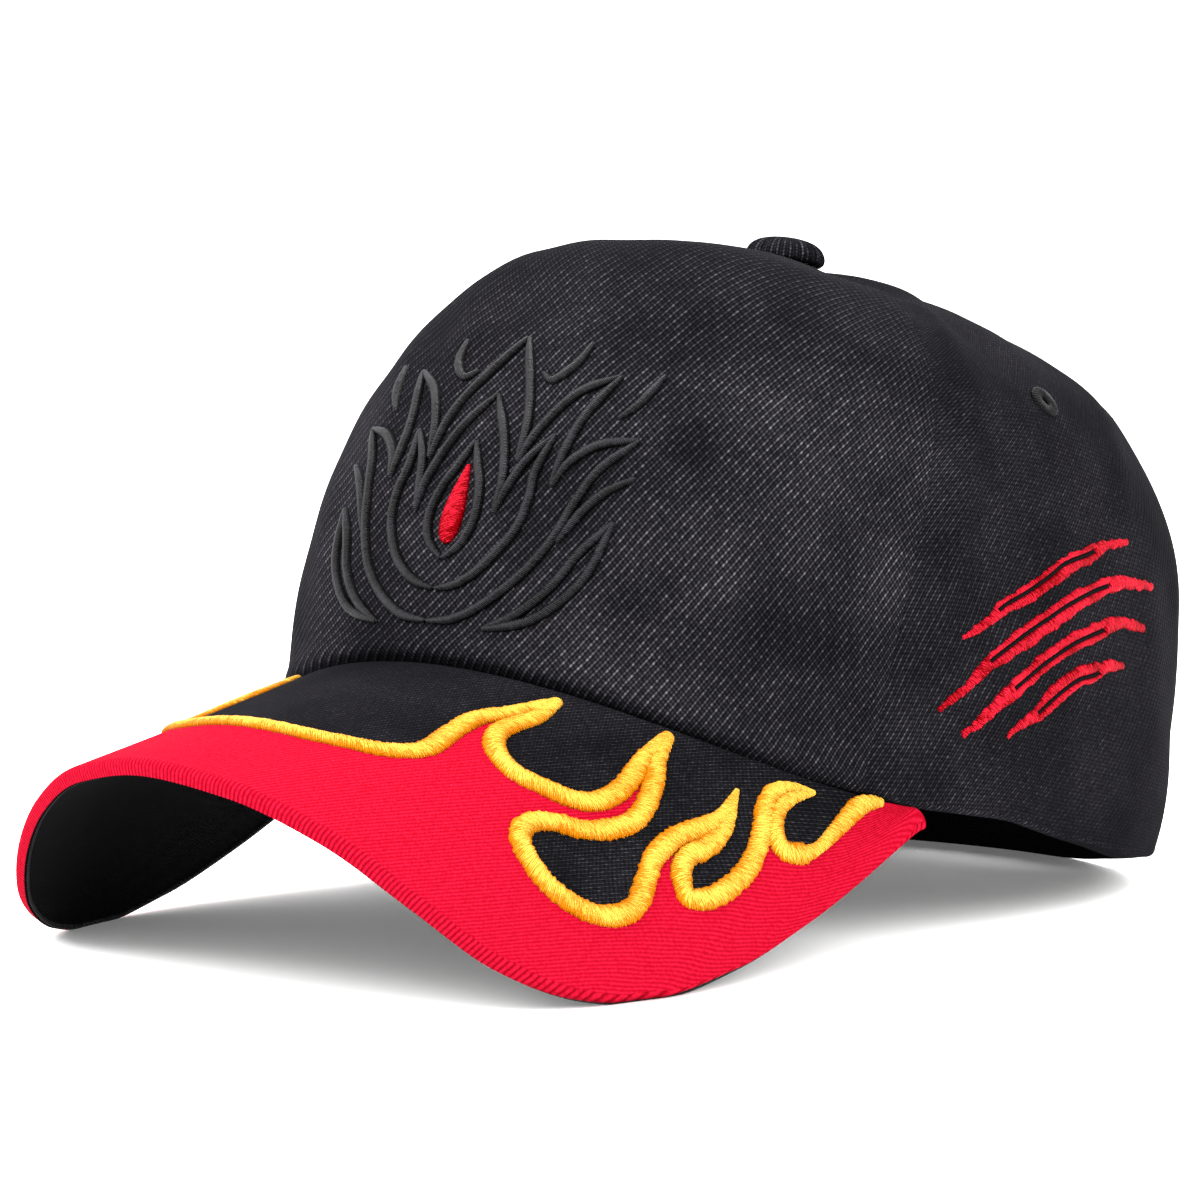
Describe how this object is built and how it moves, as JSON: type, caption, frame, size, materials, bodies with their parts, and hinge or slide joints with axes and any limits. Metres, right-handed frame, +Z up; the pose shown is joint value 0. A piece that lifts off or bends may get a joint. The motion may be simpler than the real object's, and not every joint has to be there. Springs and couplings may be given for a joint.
{
  "type": "peaked cap",
  "caption": "Soft peaked cap with a wide stiff front panel, covered button, bent peak with flame stitching, and a rear arch with a strap.",
  "frame": {"origin": "on the surface that the cap rests on, at the middle of its footprint", "axes": "+Z up, -Y towards the peak's front edge, +X towards the wearer's left"},
  "size_m": [0.1732, 0.2908, 0.1445],
  "materials": {
    "black_twill": "matt black ribbed twill with a faint grey sheen",
    "red_and_black_twill": "vivid red twill along the rim and black twill by the crown, matt",
    "black_lining": "plain matt black cloth",
    "black_thread": "satin black embroidery thread",
    "gold_thread": "satin gold embroidery thread",
    "red_thread": "satin red embroidery thread"
  },
  "bodies": {
    "root": {"front_panel": "black_twill", "side_panel_left": "black_twill", "side_panel_right": "black_twill", "back_panel_left": "black_twill", "back_panel_right": "black_twill", "top_button": "black_twill", "rear_strap": "black_twill", "peak_top_cover": "red_and_black_twill", "peak_under_cover": "black_lining", "sweatband": "black_lining", "eyelet_side_left": "black_thread", "eyelet_side_right": "black_thread", "eyelet_back_left": "black_thread", "eyelet_back_right": "black_thread"}
  },
  "joints": []
}
